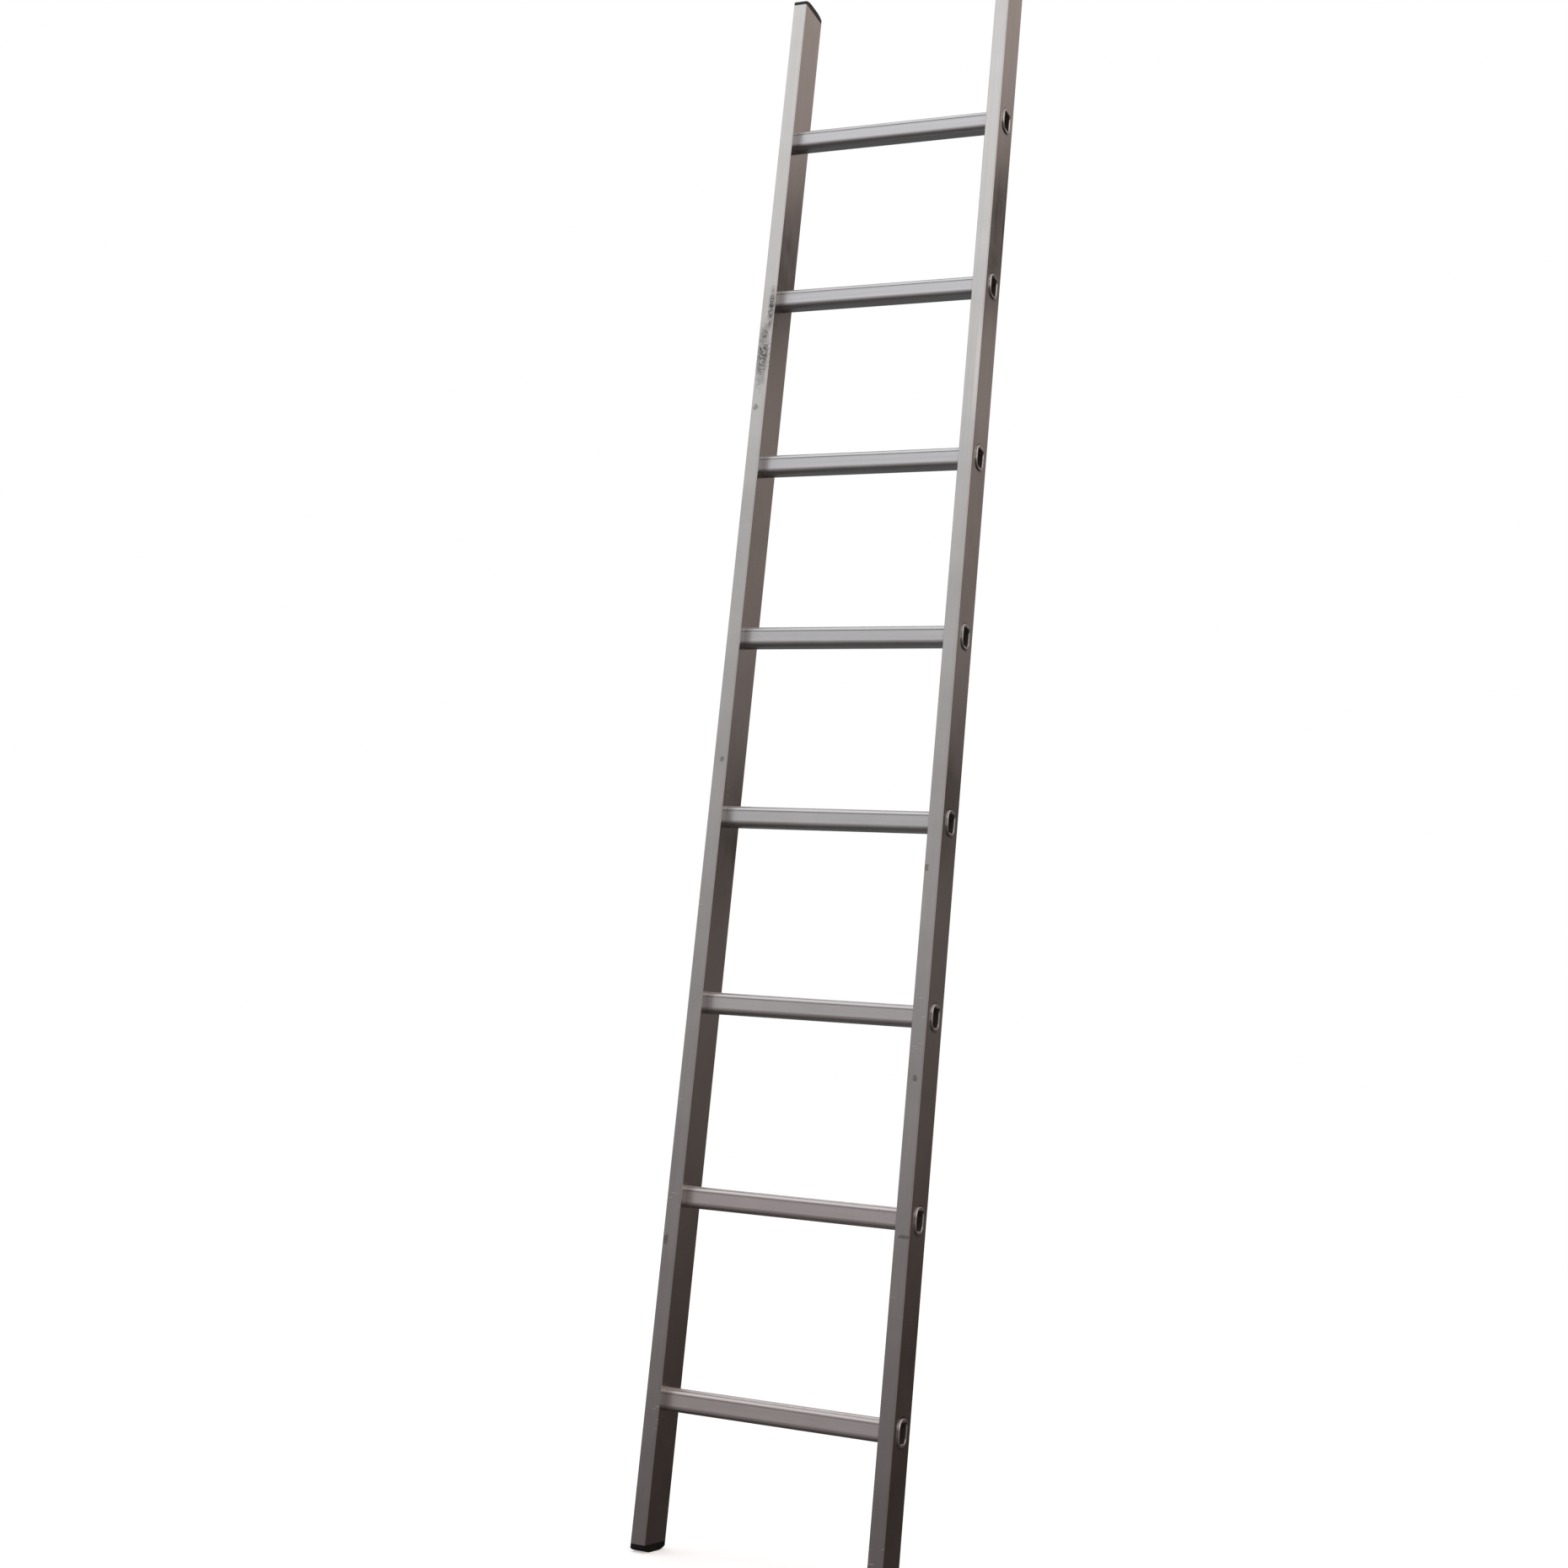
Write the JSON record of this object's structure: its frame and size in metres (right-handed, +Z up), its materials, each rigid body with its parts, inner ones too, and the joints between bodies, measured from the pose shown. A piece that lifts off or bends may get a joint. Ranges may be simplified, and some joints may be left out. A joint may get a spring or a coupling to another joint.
{
  "type": "single-section ladder",
  "caption": "Straight single-section ladder: hollow rectangular stiles joined by hollow ribbed rungs with rolled ends, with black plugs as feet and top caps.",
  "frame": {"origin": "on the ground midway between the two feet, under the middle of the ladder", "axes": "+Z up the stiles, X across the ladder from the left stile to the right stile, -Y the side that is climbed, +Y the side that leans on a wall"},
  "size_m": [0.3784, 0.0676, 2.4096],
  "materials": {
    "stile_aluminium": "mill-finish extrusion, semi-gloss, with fine lengthwise drawing lines and handling marks",
    "rung_aluminium": "mill-finish extrusion, semi-gloss, brighter than the stiles",
    "foot_rubber": "black, matt, moulded, scuffed at the sole",
    "cap_plastic": "black, fine moulded grain"
  },
  "bodies": {
    "root": {"stile_left": "stile_aluminium", "stile_right": "stile_aluminium", "rung_1": "rung_aluminium", "rung_2": "rung_aluminium", "rung_3": "rung_aluminium", "rung_4": "rung_aluminium", "rung_5": "rung_aluminium", "rung_6": "rung_aluminium", "rung_7": "rung_aluminium", "rung_8": "rung_aluminium", "foot_left": "foot_rubber", "foot_right": "foot_rubber", "cap_left": "cap_plastic", "cap_right": "cap_plastic"}
  },
  "joints": []
}
